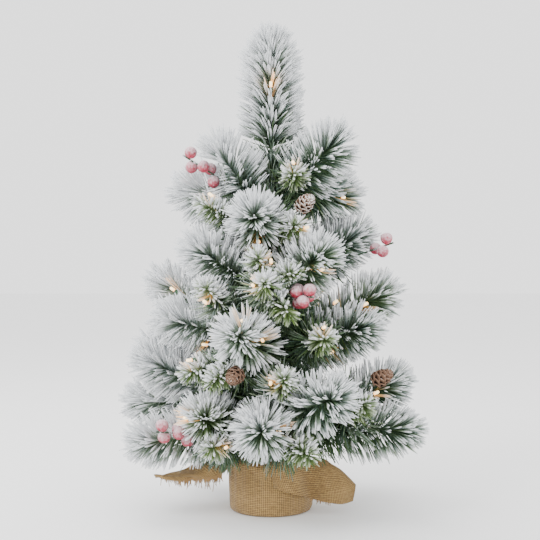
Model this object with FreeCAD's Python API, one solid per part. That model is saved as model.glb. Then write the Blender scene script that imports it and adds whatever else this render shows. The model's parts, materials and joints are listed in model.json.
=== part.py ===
import FreeCAD, Part
import math
import os
from collections import namedtuple

from FreeCAD import Placement, Rotation, Vector

# A lit, snow-flocked tabletop tree on a burlap-wrapped base. Millimetres and degrees, +Z up,
# origin on the table under the middle of the base, the tree's front towards -Y.
# A bearing is measured round the trunk from the front, positive towards +X.

# ---- clearances ----
LAID_GAP = 0.3            # between curved pieces that lie against each other
PIN_GAP = 0.05            # running clearance of a hinge pin, on the radius
SIDE_GAP = 0.3            # play of an eye or a barrel between its cheeks
THROUGH = 1.0             # how far a cutting shape runs on past what it cuts

# ---- base ----
POT_RADIUS = 49.2
POT_HEIGHT = 60.0
POT_WALL = 1.8
POT_FLOOR = 2.4
FILL_BELOW_RIM = 4.0
CLOTH = 1.5               # burlap thickness
CLOTH_HEM = 8.0           # how far the cloth is turned in under the pot
CLOTH_FOOT_ROUND = 3.0
NECK_RADIUS = 16.0        # outside of the gathered cloth round the trunk
NECK_RISE = 8.5           # of the tied neck over the pot's rim
NECK_HEIGHT = 10.0
TWINE_RADIUS = 1.2
TWINE_TURNS = 3
# the front corner of the cloth is folded across the pot's face and out to the right
APRON_HEIGHT = 34.0
APRON_FROM = -2.0         # bearing
APRON_TO = 60.0           # bearing
APRON_OVERLAP = 2.0       # degrees of the apron that the corner's root covers
CORNER_LIFT = 1.0         # of a hanging corner over the pot's rim
# a point of a hanging corner: its bearing, how far outside the cloth, how far below the rim
Hang = namedtuple("Hang", "bearing out drop")
FOLDED_TIP = Hang(66.9, 61.0, 18.6)
FOLDED_HEM = Hang(65.7, 51.0, 40.6)
# each corner: the bearings on the rim where it begins and ends, its sagging edge, its tip
HANGING_CORNERS = [
    (-58, -112, Hang(-65.6, 21.5, 20.6), Hang(-86.7, 89.2, 10.6)),
    (112, 152, Hang(111.3, 26.2, 20.6), Hang(129.9, 61.1, 22.6)),
    (-152, -192, Hang(-145.9, 23.9, 20.6), Hang(-152.0, 59.9, 24.6)),
]

# ---- battery case in the underside ----
CELL_RADIUS = 7.1
CELL_LENGTH = 50.0
CELL_COUNT = 3
CELL_GAP = 0.8            # between two cells
NUB_RADIUS = 2.7
NUB_HEIGHT = 1.5
CONTACT_ROOM = 3.6        # at each end of a cell
CASE_WALL = 1.6
CONTACT_PLATE = 0.5
CONTACT_SIDE = 10.0
SPRING_FOOT = 4.0         # radius on its plate
SPRING_TIP = 2.2          # radius against the cell
DOOR_THICKNESS = 1.8
DOOR_BARREL_RADIUS = 1.4
DOOR_PIN_RADIUS = 0.8
DOOR_PIN_LENGTH = 1.2
LATCH_WIDTH = 12.0
LATCH_HEIGHT = 2.4
LATCH_THICKNESS = 1.2

# ---- slide switch beside the door ----
SWITCH_OUT = 36.0         # from the base's middle
SWITCH_TRAVEL = 4.0
KNOB_WIDTH = 3.0
KNOB_LENGTH = 4.0
KNOB_STANDS = 1.0         # below the pot's floor
SLIDER_WIDTH = 5.4
SLIDER_LENGTH = 11.0
SLIDER_THICKNESS = 1.4

# ---- trunk ----
TRUNK_RADIUS = 5.0
TRUNK_BORE = 4.0          # radius
TRUNK_RISE = 358.0        # over the cloth's neck
CEMENT_UNDER_TRUNK = 5.8  # over the battery case
HARNESS_RADIUS = 1.1
HARNESS_BEARING = -141.0
HARNESS_BELOW_TOP = 14.0  # of the trunk

# ---- branch hinges ----
BRACKET_RING = 3.0        # wall of the ring that grips the trunk
BRACKET_HEIGHT = 6.0
HINGE_ROOM = 1.6          # between the ring and an eye
PIN_RADIUS = 1.0
EYE_WALL = 1.55           # round the pin
EYE_WIDTH = 4.0
CHEEK = 1.4               # thickness of each ear
LEADER_HINGE_RISE = 7.0   # of the leader's pin above the trunk's end
CAP_ROOF = 2.0            # of the leader's bracket, over the trunk's end

# ---- wires, foliage and ornaments ----
MAIN_WIRE = 1.6           # radius
SIDE_WIRE = 1.1           # radius
CORE_SHARE = 0.62         # most of a twig that its brush covers
CORE_NECK = 2.6           # radius of a brush core where the wire enters it
CORE_SWELL = 0.3          # share of its length over which a core swells to its full radius
CORE_STOUTEST = 0.4       # most of its length that a core's radius can be
LEADER_RISE = 158.0       # of the leader's tip over the trunk's end
LIGHT_RADIUS = 2.5
LIGHT_SOCKET = 7.0
LIGHT_LENS = 7.5
LENS_SHARE = 0.8          # of the socket's radius
LIGHT_TILT = 0.12         # away from the brush, for each unit along it
BERRY_RADIUS = 6.6
BERRY_TURN = 137.5        # degrees round the wire from one berry to the next
PINECONE_RADIUS = 11.0
PINECONE_LENGTH = 28.0
PINECONE_FOOT = 0.45      # share of its radius at the wire
PINECONE_WIDEST = 0.42    # share of its length up to its widest ring
PINECONE_TOP = 0.3        # share of its radius at its end

Brush = namedtuple("Brush", "radius length")
LONG = Brush(15.0, 86.0)      # long soft needles
SHORT = Brush(10.0, 36.0)      # short stiff needles
TOP = Brush(20.0, 132.0)      # the leader

# where a twig ends (bearing, reach from the trunk's axis, height over the cloth's neck), and the
# share of the main wire at which it leaves. A branch's first tip is in line with its main wire.
Tip = namedtuple("Tip", "brush bearing reach height leaves", defaults=(1.0,))
# a lamp beside a tip's brush: tip number, share of the brush's length, and the side it sits on
Light = namedtuple("Light", "tip share side")
# a row of berries along a wire's end, at this pitch, and a pinecone on a wire
Berries = namedtuple("Berries", "bearing reach height leaves count pitch")
Pinecone = namedtuple("Pinecone", "bearing reach height leaves")
Branch = namedtuple("Branch", "name hinge_height tips lights berries pinecone", defaults=((), None, None))

UP = Vector(0, 0, 1)
DOWN = Vector(0, 0, -1)
FRONT = Vector(0, -1, 0)
BACK = Vector(0, 1, 0)
LEFT = Vector(-1, 0, 0)
RIGHT = Vector(1, 0, 0)

BRANCHES = [
    Branch("low_left", 14.0,
           [Tip(LONG, -70, 172, 13), Tip(LONG, -36, 142, 54, 0.45), Tip(SHORT, -31, 136, 16, 0.3)],
           [Light(1, 0.75, LEFT), Light(2, 0.3, RIGHT), Light(0, 0.2, UP)],
           Berries(-54, 164, 32, 0.7, 5, 10.5)),
    Branch("low_front", 28.0,
           [Tip(LONG, -4, 170, 44), Tip(LONG, 25, 180, 84, 0.4), Tip(SHORT, 17, 152, 12, 0.85),
            Tip(SHORT, 6, 150, 102, 0.15)],
           [Light(0, 0.35, RIGHT), Light(3, 0.2, LEFT)]),
    Branch("low_right", 21.0,
           [Tip(LONG, 74, 178, 26), Tip(LONG, 82, 162, 88, 0.4), Tip(SHORT, 50, 146, 66, 0.7)],
           [Light(1, 0.45, FRONT), Light(0, 0.1, UP)],
           None, Pinecone(60, 152, 93, 0.2)),
    Branch("low_back", 35.0,
           [Tip(LONG, 178, 174, 32), Tip(LONG, -141, 170, 24, 0.7), Tip(LONG, 138, 170, 28, 0.5),
            Tip(SHORT, -160, 150, 80, 0.3), Tip(SHORT, 158, 148, 78, 0.15)]),
    Branch("left", 48.0,
           [Tip(LONG, -102, 181, 50), Tip(LONG, -84, 160, 112, 0.3), Tip(LONG, -126, 158, 98, 0.15),
            Tip(LONG, -106, 164, 122, 0.05)]),
    Branch("front", 112.0,
           [Tip(LONG, -14, 165, 152), Tip(SHORT, -46, 138, 100, 0.35), Tip(SHORT, -29, 140, 92, 0.7)],
           [Light(1, 0.5, UP), Light(0, 0.55, UP), Light(0, 0.3, RIGHT)],
           None, Pinecone(-16, 148, 102, 0.6)),
    Branch("right", 120.0,
           [Tip(LONG, 63, 135, 153), Tip(LONG, 84, 148, 196, 0.3), Tip(SHORT, 27, 138, 142, 0.7)],
           [Light(2, 0.5, UP), Light(1, 0.45, FRONT), Light(0, 0.1, DOWN), Light(1, 0.1, UP)]),
    Branch("mid_left", 128.0,
           [Tip(LONG, -65, 142, 162), Tip(LONG, -104, 148, 207, 0.35), Tip(SHORT, -38, 128, 203, 0.15)],
           [Light(1, 0.5, FRONT), Light(0, 0.15, DOWN), Light(2, 0.3, DOWN)]),
    Branch("mid_back", 104.0,
           [Tip(LONG, 176, 152, 144), Tip(LONG, -142, 150, 156, 0.6), Tip(LONG, 130, 156, 132, 0.4),
            Tip(SHORT, 154, 132, 190, 0.2)],
           [Light(0, 0.5, UP), Light(1, 0.4, BACK), Light(2, 0.5, UP), Light(3, 0.3, RIGHT)]),
    Branch("upper_front", 182.0,
           [Tip(SHORT, -3, 140, 207), Tip(LONG, 30, 126, 243, 0.3), Tip(LONG, -51, 118, 250, 0.15),
            Tip(SHORT, -8, 116, 238, 0.4), Tip(SHORT, 13, 120, 220, 0.7), Tip(SHORT, 10, 134, 170, 0.85)],
           [Light(3, 0.3, RIGHT), Light(0, 0.2, LEFT), Light(1, 0.4, RIGHT)],
           Berries(21, 134, 190, 0.55, 6, 5.0)),
    Branch("upper_back", 196.0,
           [Tip(LONG, 160, 124, 242), Tip(LONG, 96, 118, 266, 0.5), Tip(LONG, -148, 120, 240, 0.3)],
           (),
           Berries(86, 152, 252, 0.3, 3, 9.0)),
    Branch("top_front", 250.0,
           [Tip(LONG, -12, 108, 289), Tip(SHORT, -48, 110, 299, 0.3), Tip(SHORT, 19, 98, 272, 0.6)],
           [Light(1, 0.5, UP), Light(2, 0.6, RIGHT), Light(0, 0.1, DOWN)],
           None, Pinecone(24, 100, 298, 0.3)),
    Branch("top_left", 292.0,
           [Tip(LONG, -56, 82, 368), Tip(LONG, -95, 110, 318, 0.25), Tip(LONG, -146, 96, 324, 0.1)],
           (),
           Berries(-72, 112, 358, 0.35, 5, 10.5)),
    Branch("top_right", 304.0,
           [Tip(LONG, 64, 92, 379), Tip(LONG, 112, 104, 308, 0.6), Tip(SHORT, 22, 68, 334, 0.85),
            Tip(LONG, 168, 86, 340, 0.3)],
           [Light(2, 0.5, UP), Light(1, 0.4, FRONT)]),
]
LEADER_LIGHTS = [Light(0, 0.13, FRONT), Light(0, 0.4, BACK)]


# ---- sizes worked out from those above ----
POT_BOTTOM = CLOTH
POT_FLOOR_TOP = POT_BOTTOM + POT_FLOOR
POT_RIM = POT_BOTTOM + POT_HEIGHT
FILL_TOP = POT_RIM - FILL_BELOW_RIM
CLOTH_INNER = POT_RADIUS + LAID_GAP
CLOTH_OUTER = CLOTH_INNER + CLOTH
SHOULDER = POT_RIM + LAID_GAP
RIM_OF_CLOTH = SHOULDER + CLOTH / 2
NECK_BOTTOM = POT_RIM + NECK_RISE
NECK_TOP = NECK_BOTTOM + NECK_HEIGHT

CELL_PITCH = 2 * CELL_RADIUS + CELL_GAP
CAVITY_WIDTH = CELL_COUNT * CELL_PITCH
CAVITY_LENGTH = CELL_LENGTH + 2 * CONTACT_ROOM
CASE_WIDTH = CAVITY_WIDTH + 2 * CASE_WALL
BARREL_SLOT = 2 * (DOOR_BARREL_RADIUS + LAID_GAP)
CASE_LENGTH = CAVITY_LENGTH + BARREL_SLOT + 2 * CASE_WALL
CASE_MIDDLE = BARREL_SLOT / 2
DOOR_TOP = POT_BOTTOM + DOOR_THICKNESS
CELL_MIDDLE = DOOR_TOP + SIDE_GAP + CELL_RADIUS
CASE_TOP = CELL_MIDDLE + CELL_RADIUS + LAID_GAP + CASE_WALL
DOOR_AXIS_Y = CAVITY_LENGTH / 2 + BARREL_SLOT / 2
DOOR_AXIS_Z = POT_BOTTOM + DOOR_BARREL_RADIUS

TRUNK_FOOT = CASE_TOP + CEMENT_UNDER_TRUNK
TRUNK_TOP = NECK_TOP + TRUNK_RISE
LEADER_TOP = TRUNK_TOP + LEADER_RISE
RING_OUT = TRUNK_RADIUS + LAID_GAP + BRACKET_RING
HARNESS_OUT = RING_OUT + HARNESS_RADIUS + LAID_GAP
EYE_RADIUS = PIN_RADIUS + PIN_GAP + EYE_WALL
HINGE_OUT = RING_OUT + HINGE_ROOM + EYE_RADIUS


# ---- layout, worked out from the sizes above ----
def at(bearing, reach, height):
    """The point at this bearing, reach and height."""
    turn = math.radians(bearing)
    return Vector(reach * math.sin(turn), -reach * math.cos(turn), height)


def place_of(end):
    """Where a tip, a row of berries or a pinecone is."""
    return at(end.bearing, end.reach, NECK_TOP + end.height)


def hinge_of(branch):
    """Where a branch's hinge pin is, and the direction of the pin."""
    bearing = branch.tips[0].bearing
    return at(bearing, HINGE_OUT, NECK_TOP + branch.hinge_height), at(bearing + 90, 1, 0)


def brush_on(brush, start, end):
    """Where a brush begins on the twig from start to end."""
    line = end - start
    length = min(brush.length, CORE_SHARE * line.Length)
    return end - line.normalize() * length


def twigs_of(branch):
    """Each tip's (start, where its brush begins, end). The first one starts at the hinge."""
    pin, _ = hinge_of(branch)
    lead_end = place_of(branch.tips[0])
    lead_brush = brush_on(branch.tips[0].brush, pin, lead_end)
    twigs = [(pin, lead_brush, lead_end)]
    for tip in branch.tips[1:]:
        start = pin + (lead_brush - pin) * tip.leaves
        end = place_of(tip)
        twigs.append((start, brush_on(tip.brush, start, end), end))
    return twigs


def wire_for(branch, ornament):
    """The wire of an ornament: where it leaves the main wire, and the ornament's place."""
    pin, brush, _ = twigs_of(branch)[0]
    return pin + (brush - pin) * ornament.leaves, place_of(ornament)


def berry_places(branch):
    """The middles of a spray's berries, set round the end of its wire."""
    spray = branch.berries
    start, end = wire_for(branch, spray)
    way = (end - start).normalize()
    out = UP - way * way.dot(UP)
    out.normalize()
    off = BERRY_RADIUS + SIDE_WIRE + LAID_GAP
    places = []
    for n in range(spray.count):
        turned = Rotation(way, n * BERRY_TURN).multVec(out)
        places.append(end - way * (BERRY_RADIUS + n * spray.pitch) + turned * off)
    return places


def lights_on(twigs, brushes, lights):
    """Each lamp's (foot, direction): it lies along its brush, just clear of it."""
    lamps = []
    for light in lights:
        start, brush_start, end = twigs[light.tip]
        way = (end - brush_start).normalize()
        out = light.side - way * way.dot(light.side)
        out.normalize()
        off = brushes[light.tip].radius + LIGHT_RADIUS + LAID_GAP
        foot = brush_start + (end - brush_start) * light.share + out * off
        lamps.append((foot, (way + out * LIGHT_TILT).normalize()))
    return lamps


# ---- shapes ----
def placed(shape, start, way):
    """A copy of a shape made along +Z, moved to start and turned to point along way."""
    copy = shape.copy()
    copy.Placement = Placement(start, Rotation(UP, way))
    return copy


def rod(start, end, radius):
    line = end - start
    return placed(Part.makeCylinder(radius, line.Length), start, line)


def turned_solid(points):
    """A solid of revolution about Z. A point is (radius, height); three in a row marked
    with a middle ("arc", radius, height) make an arc."""
    edges = []
    n = 0
    count = len(points)
    while n < count:
        here = Vector(points[n][0], 0, points[n][1])
        after = points[(n + 1) % count]
        if after[0] == "arc":
            last = points[(n + 2) % count]
            edges.append(Part.Arc(here, Vector(after[1], 0, after[2]), Vector(last[0], 0, last[1])).toShape())
            n += 2
        else:
            there = Vector(after[0], 0, after[1])
            edges.append(Part.LineSegment(here, there).toShape())
            n += 1
    return Part.Face(Part.Wire(edges)).revolve(Vector(0, 0, 0), UP, 360)


def box(x, y, z):
    """A block between the given low and high values."""
    return Part.makeBox(x[1] - x[0], y[1] - y[0], z[1] - z[0], Vector(x[0], y[0], z[0]))


def centred(width, middle=0.0):
    return middle - width / 2, middle + width / 2


def write(name, shapes):
    """One node: a single solid, or a group of separate ones."""
    shape = shapes[0] if len(shapes) == 1 else Part.makeCompound(shapes)
    shape.exportStep("parts/" + name + ".step")


# ---- base ----
def pot_shell():
    pot = Part.makeCylinder(POT_RADIUS, POT_HEIGHT, Vector(0, 0, POT_BOTTOM))
    inside = Part.makeCylinder(POT_RADIUS - POT_WALL, POT_HEIGHT, Vector(0, 0, POT_FLOOR_TOP))
    hole = case_block(LAID_GAP)
    slot = box(
        centred(KNOB_WIDTH + 2 * SIDE_GAP, SWITCH_OUT),
        centred(KNOB_LENGTH + SWITCH_TRAVEL + 2 * SIDE_GAP),
        (0, POT_FLOOR_TOP + THROUGH),
    )
    return pot.cut(inside).cut(hole).cut(slot)


def case_block(grown):
    """The block that the battery case fills, grown all round by a clearance."""
    return box(
        centred(CASE_WIDTH + 2 * grown),
        centred(CASE_LENGTH + 2 * grown, CASE_MIDDLE),
        (POT_BOTTOM - grown, CASE_TOP + grown),
    )


def battery_case():
    case = case_block(0)
    cavity = box(centred(CAVITY_WIDTH), centred(CAVITY_LENGTH), (0, CASE_TOP - CASE_WALL))
    barrel_room = box(
        centred(CAVITY_WIDTH),
        (0, DOOR_AXIS_Y + BARREL_SLOT / 2),
        (0, DOOR_AXIS_Z + BARREL_SLOT / 2),
    )
    pin_holes = Part.makeCylinder(
        DOOR_PIN_RADIUS + PIN_GAP, CASE_WIDTH, Vector(-CASE_WIDTH / 2, DOOR_AXIS_Y, DOOR_AXIS_Z), RIGHT
    )
    return case.cut(cavity).cut(barrel_room).cut(pin_holes)


def battery_door():
    width = CAVITY_WIDTH - 2 * SIDE_GAP
    free_edge = -CAVITY_LENGTH / 2 + SIDE_GAP
    plate = box(centred(width), (free_edge, DOOR_AXIS_Y), (POT_BOTTOM, DOOR_TOP))
    barrel = Part.makeCylinder(DOOR_BARREL_RADIUS, width, Vector(-width / 2, DOOR_AXIS_Y, DOOR_AXIS_Z), RIGHT)
    reach = width + 2 * DOOR_PIN_LENGTH
    pins = Part.makeCylinder(DOOR_PIN_RADIUS, reach, Vector(-reach / 2, DOOR_AXIS_Y, DOOR_AXIS_Z), RIGHT)
    latch = box(
        centred(LATCH_WIDTH),
        centred(LATCH_THICKNESS, free_edge + LATCH_THICKNESS),
        (DOOR_TOP, DOOR_TOP + LATCH_HEIGHT),
    )
    return plate.fuse([barrel, pins, latch])


def battery_cells():
    cells = []
    for n in range(CELL_COUNT):
        middle = (n - (CELL_COUNT - 1) / 2) * CELL_PITCH
        facing = 1 if n % 2 == 0 else -1
        low = Vector(middle, -facing * CELL_LENGTH / 2, CELL_MIDDLE)
        way = Vector(0, facing, 0)
        can_length = CELL_LENGTH - NUB_HEIGHT
        can = Part.makeCylinder(CELL_RADIUS, can_length, low, way)
        nub = Part.makeCylinder(NUB_RADIUS, NUB_HEIGHT, low + way * can_length, way)
        cells.append(can.fuse(nub))
    return cells


def battery_contacts():
    """A plate at each end of each cell, with a conical spring at the flat end."""
    contacts = []
    for n in range(CELL_COUNT):
        middle = (n - (CELL_COUNT - 1) / 2) * CELL_PITCH
        facing = 1 if n % 2 == 0 else -1
        for end in (-1, 1):
            wall = end * CAVITY_LENGTH / 2
            plate = box(
                centred(CONTACT_SIDE, middle),
                centred(CONTACT_PLATE, wall - end * CONTACT_PLATE / 2),
                centred(CONTACT_SIDE, CELL_MIDDLE),
            )
            if end != facing:
                foot = Vector(middle, wall - end * CONTACT_PLATE, CELL_MIDDLE)
                length = CONTACT_ROOM - CONTACT_PLATE
                spring = Part.makeCone(SPRING_FOOT, SPRING_TIP, length, foot, Vector(0, -end, 0))
                plate = plate.fuse(spring)
            contacts.append(plate)
    return contacts


def switch_knob():
    """A finger nub below the pot's floor on a slider that lies on top of it."""
    slider_top = POT_FLOOR_TOP + PIN_GAP + SLIDER_THICKNESS
    nub = box(
        centred(KNOB_WIDTH, SWITCH_OUT),
        centred(KNOB_LENGTH, -SWITCH_TRAVEL / 2),
        (POT_BOTTOM - KNOB_STANDS, slider_top),
    )
    slider = box(
        centred(SLIDER_WIDTH, SWITCH_OUT),
        centred(SLIDER_LENGTH, -SWITCH_TRAVEL / 2),
        (POT_FLOOR_TOP + PIN_GAP, slider_top),
    )
    return nub.fuse(slider)


def cement_fill():
    fill = Part.makeCylinder(
        POT_RADIUS - POT_WALL - LAID_GAP, FILL_TOP - POT_FLOOR_TOP, Vector(0, 0, POT_FLOOR_TOP)
    )
    switch_room = box(
        centred(SLIDER_WIDTH + 2 * SIDE_GAP, SWITCH_OUT),
        centred(SLIDER_LENGTH + SWITCH_TRAVEL + 2 * SIDE_GAP),
        (0, POT_FLOOR_TOP + SLIDER_THICKNESS + 2 * SIDE_GAP),
    )
    trunk_hole = Part.makeCylinder(TRUNK_RADIUS + LAID_GAP, FILL_TOP - TRUNK_FOOT, Vector(0, 0, TRUNK_FOOT))
    wire_foot = at(HARNESS_BEARING, HARNESS_OUT, 0)
    wire_hole = Part.makeCylinder(HARNESS_RADIUS + LAID_GAP, FILL_TOP, wire_foot)
    return fill.cut(case_block(LAID_GAP)).cut(switch_room).cut(trunk_hole).cut(wire_hole)


def corner_panel(points):
    """A flat three-cornered panel of the cloth."""
    normal = (points[1] - points[0]).cross(points[2] - points[0]).normalize()
    low = [point - normal * CLOTH / 2 for point in points]
    return Part.Face(Part.makePolygon(low + [low[0]])).extrude(normal * CLOTH)


def hanging(point):
    """Where a point of a hanging corner is."""
    return at(point.bearing, CLOTH_OUTER + point.out, RIM_OF_CLOTH - point.drop)


def burlap_wrap():
    """The cloth: up the pot's side, over its rim to the tied neck, and its corners hanging out."""
    foot = CLOTH_FOOT_ROUND
    slant = foot * (1 - math.sqrt(0.5))
    turned_in = CLOTH_INNER - CLOTH_HEM
    neck_inner = NECK_RADIUS - CLOTH
    cup = turned_solid([
        (turned_in, 0), (CLOTH_OUTER - foot, 0), ("arc", CLOTH_OUTER - slant, slant), (CLOTH_OUTER, foot),
        (CLOTH_OUTER, SHOULDER), (CLOTH_OUTER - foot, SHOULDER + CLOTH),
        (NECK_RADIUS, NECK_BOTTOM), (NECK_RADIUS, NECK_TOP),
        (neck_inner, NECK_TOP), (neck_inner, NECK_BOTTOM - CLOTH),
        (CLOTH_INNER, SHOULDER), (CLOTH_INNER, CLOTH), (turned_in, CLOTH),
    ])
    low = Vector(0, 0, RIM_OF_CLOTH - APRON_HEIGHT)
    apron = Part.makeCylinder(CLOTH_OUTER + CLOTH, APRON_HEIGHT, low, UP, APRON_TO - APRON_FROM)
    apron = apron.cut(Part.makeCylinder(CLOTH_OUTER - LAID_GAP, APRON_HEIGHT, low))
    apron.rotate(Vector(0, 0, 0), UP, APRON_FROM - 90)
    root = at(APRON_TO - APRON_OVERLAP, CLOTH_OUTER + CLOTH / 2, RIM_OF_CLOTH)
    root_low = root - UP * APRON_HEIGHT
    corner = hanging(FOLDED_TIP)
    panels = [[root, root_low, corner], [root_low, corner, hanging(FOLDED_HEM)]]
    for first, last, sag, tip in HANGING_CORNERS:
        start = at(first, CLOTH_OUTER - LAID_GAP, RIM_OF_CLOTH + CORNER_LIFT)
        finish = at(last, CLOTH_OUTER - LAID_GAP, RIM_OF_CLOTH + CORNER_LIFT)
        panels += [[start, finish, hanging(tip)], [start, hanging(sag), hanging(tip)]]
    return cup.fuse([apron] + [corner_panel(panel) for panel in panels])


def neck_twine():
    turns = []
    for n in range(TWINE_TURNS):
        height = NECK_BOTTOM + TWINE_RADIUS + LAID_GAP + n * (2 * TWINE_RADIUS + LAID_GAP)
        ring = Part.makeTorus(NECK_RADIUS + TWINE_RADIUS + LAID_GAP, TWINE_RADIUS, Vector(0, 0, height))
        turns.append(ring)
    return turns


# ---- trunk and hinges ----
def trunk_tube():
    """A thin steel tube cast into the base."""
    foot = Vector(0, 0, TRUNK_FOOT)
    length = TRUNK_TOP - TRUNK_FOOT
    return Part.makeCylinder(TRUNK_RADIUS, length, foot).cut(Part.makeCylinder(TRUNK_BORE, length, foot))


def trunk_harness():
    """The lamps' feed wire, from the battery case up beside the trunk."""
    foot = at(HARNESS_BEARING, HARNESS_OUT, CASE_TOP)
    return Part.makeCylinder(HARNESS_RADIUS, TRUNK_TOP - HARNESS_BELOW_TOP - CASE_TOP, foot)


def cheeks(reach):
    """Two ears with a pin across them, along +X from the origin to the pin."""
    gap = EYE_WIDTH + 2 * SIDE_GAP
    ears = []
    for side in (-1, 1):
        y = centred(CHEEK, side * (gap + CHEEK) / 2)
        plate = box((0, reach), y, centred(2 * EYE_RADIUS))
        end = Part.makeCylinder(EYE_RADIUS, CHEEK, Vector(reach, y[0], 0), BACK)
        ears.append(plate.fuse(end))
    width = gap + 2 * CHEEK
    pin = Part.makeCylinder(PIN_RADIUS, width, Vector(reach, -width / 2, 0), BACK)
    return ears[0].fuse([ears[1], pin])


def branch_bracket(branch):
    """A ring round the trunk, with two ears and a pin for the branch's eye."""
    ring = Part.makeCylinder(RING_OUT, BRACKET_HEIGHT, Vector(0, 0, -BRACKET_HEIGHT / 2))
    hole = Part.makeCylinder(TRUNK_RADIUS + LAID_GAP, BRACKET_HEIGHT, Vector(0, 0, -BRACKET_HEIGHT / 2))
    bracket = ring.fuse(cheeks(HINGE_OUT)).cut(hole)
    turn = Rotation(UP, branch.tips[0].bearing - 90)
    bracket.Placement = Placement(Vector(0, 0, NECK_TOP + branch.hinge_height), turn)
    return bracket


def leader_bracket():
    """A cap on the trunk's end, with two ears and a pin that lies along X."""
    low = Vector(0, 0, TRUNK_TOP - BRACKET_HEIGHT)
    inside = Part.makeCylinder(TRUNK_RADIUS + LAID_GAP, BRACKET_HEIGHT, low)
    cap = Part.makeCylinder(RING_OUT, BRACKET_HEIGHT + CAP_ROOF, low)
    ears = cheeks(LEADER_HINGE_RISE)
    ears.Placement = Placement(Vector(0, 0, TRUNK_TOP), Rotation(UP, 90) * Rotation(BACK, -90))
    return cap.cut(inside).fuse(ears)


def eye_and_wire(pin, pin_way, end):
    """A main wire with the eye that turns on its hinge pin."""
    eye = Part.makeCylinder(EYE_RADIUS, EYE_WIDTH, pin - pin_way * EYE_WIDTH / 2, pin_way)
    hole_start = pin - pin_way * (EYE_WIDTH / 2 + THROUGH)
    hole = Part.makeCylinder(PIN_RADIUS + PIN_GAP, EYE_WIDTH + 2 * THROUGH, hole_start, pin_way)
    return rod(pin, end, MAIN_WIRE).fuse(eye).cut(hole)


# ---- branches ----
def brush_core(brush, start, end):
    """The dense middle of a brush: a slim neck, a full body and a round end."""
    length = (end - start).Length
    full = min(brush.radius, CORE_STOUTEST * length)
    half_turn = full * math.sqrt(0.5)
    core = turned_solid([
        (0, 0), (CORE_NECK, 0), (full, CORE_SWELL * length), (full, length - full),
        ("arc", half_turn, length - full + half_turn), (0, length),
    ])
    return placed(core, start, end - start)


def stem_of(branch):
    """The main wire with its eye, and a side wire for each further tip and ornament."""
    pin, pin_way = hinge_of(branch)
    twigs = twigs_of(branch)
    main = eye_and_wire(pin, pin_way, twigs[0][1])
    line = rod(pin, twigs[0][1], MAIN_WIRE)
    ends = [(start, brush_start) for start, brush_start, _ in twigs[1:]]
    if branch.berries:
        ends.append(wire_for(branch, branch.berries))
    if branch.pinecone:
        start, middle = wire_for(branch, branch.pinecone)
        ends.append((start, middle - (middle - start).normalize() * PINECONE_LENGTH / 2))
    return [main] + [rod(start, end, SIDE_WIRE).cut(line) for start, end in ends]


def lamp():
    """A socket and a lens with a round end, along +Z."""
    lens = LENS_SHARE * LIGHT_RADIUS
    top = LIGHT_SOCKET + LIGHT_LENS
    bend = lens * math.sqrt(0.5)
    return turned_solid([
        (0, 0), (LIGHT_RADIUS, 0), (LIGHT_RADIUS, LIGHT_SOCKET), (lens, LIGHT_SOCKET), (lens, top - lens),
        ("arc", bend, top - lens + bend), (0, top),
    ])


def pinecone(branch):
    """An egg-shaped cone, its fat end on the wire."""
    start, middle = wire_for(branch, branch.pinecone)
    way = (middle - start).normalize()
    egg = turned_solid([
        (0, 0), (PINECONE_RADIUS * PINECONE_FOOT, 0),
        ("arc", PINECONE_RADIUS, PINECONE_LENGTH * PINECONE_WIDEST),
        (PINECONE_RADIUS * PINECONE_TOP, PINECONE_LENGTH), (0, PINECONE_LENGTH),
    ])
    return placed(egg, middle - way * PINECONE_LENGTH / 2, way)


def write_branch(branch):
    twigs = twigs_of(branch)
    brushes = [tip.brush for tip in branch.tips]
    cores = [brush_core(brush, start, end) for brush, (_, start, end) in zip(brushes, twigs)]
    write(branch.name + "_stem", stem_of(branch))
    write(branch.name + "_tips", cores)
    if branch.lights:
        lamps = [placed(lamp(), *place) for place in lights_on(twigs, brushes, branch.lights)]
        write(branch.name + "_lights", lamps)
    if branch.berries:
        berries = [Part.makeSphere(BERRY_RADIUS, place) for place in berry_places(branch)]
        write(branch.name + "_berries", berries)
    if branch.pinecone:
        write(branch.name + "_pinecone", [pinecone(branch)])


def write_leader():
    pin = Vector(0, 0, TRUNK_TOP + LEADER_HINGE_RISE)
    top = Vector(0, 0, LEADER_TOP)
    start = brush_on(TOP, pin, top)
    lamps = lights_on([(pin, start, top)], [TOP], LEADER_LIGHTS)
    write("leader_stem", [eye_and_wire(pin, RIGHT, start)])
    write("leader_tips", [brush_core(TOP, start, top)])
    write("leader_lights", [placed(lamp(), *place) for place in lamps])


def main():
    os.makedirs("parts", exist_ok=True)
    write("pot_shell", [pot_shell()])
    write("cement_fill", [cement_fill()])
    write("burlap_wrap", [burlap_wrap()])
    write("neck_twine", neck_twine())
    write("battery_case", [battery_case()])
    write("battery_door", [battery_door()])
    write("battery_cells", battery_cells())
    write("battery_contacts", battery_contacts())
    write("switch_knob", [switch_knob()])
    write("trunk_tube", [trunk_tube()])
    write("trunk_harness", [trunk_harness()])
    write("branch_brackets", [branch_bracket(branch) for branch in BRANCHES] + [leader_bracket()])
    write_leader()
    for branch in BRANCHES:
        write_branch(branch)


main()
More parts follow.
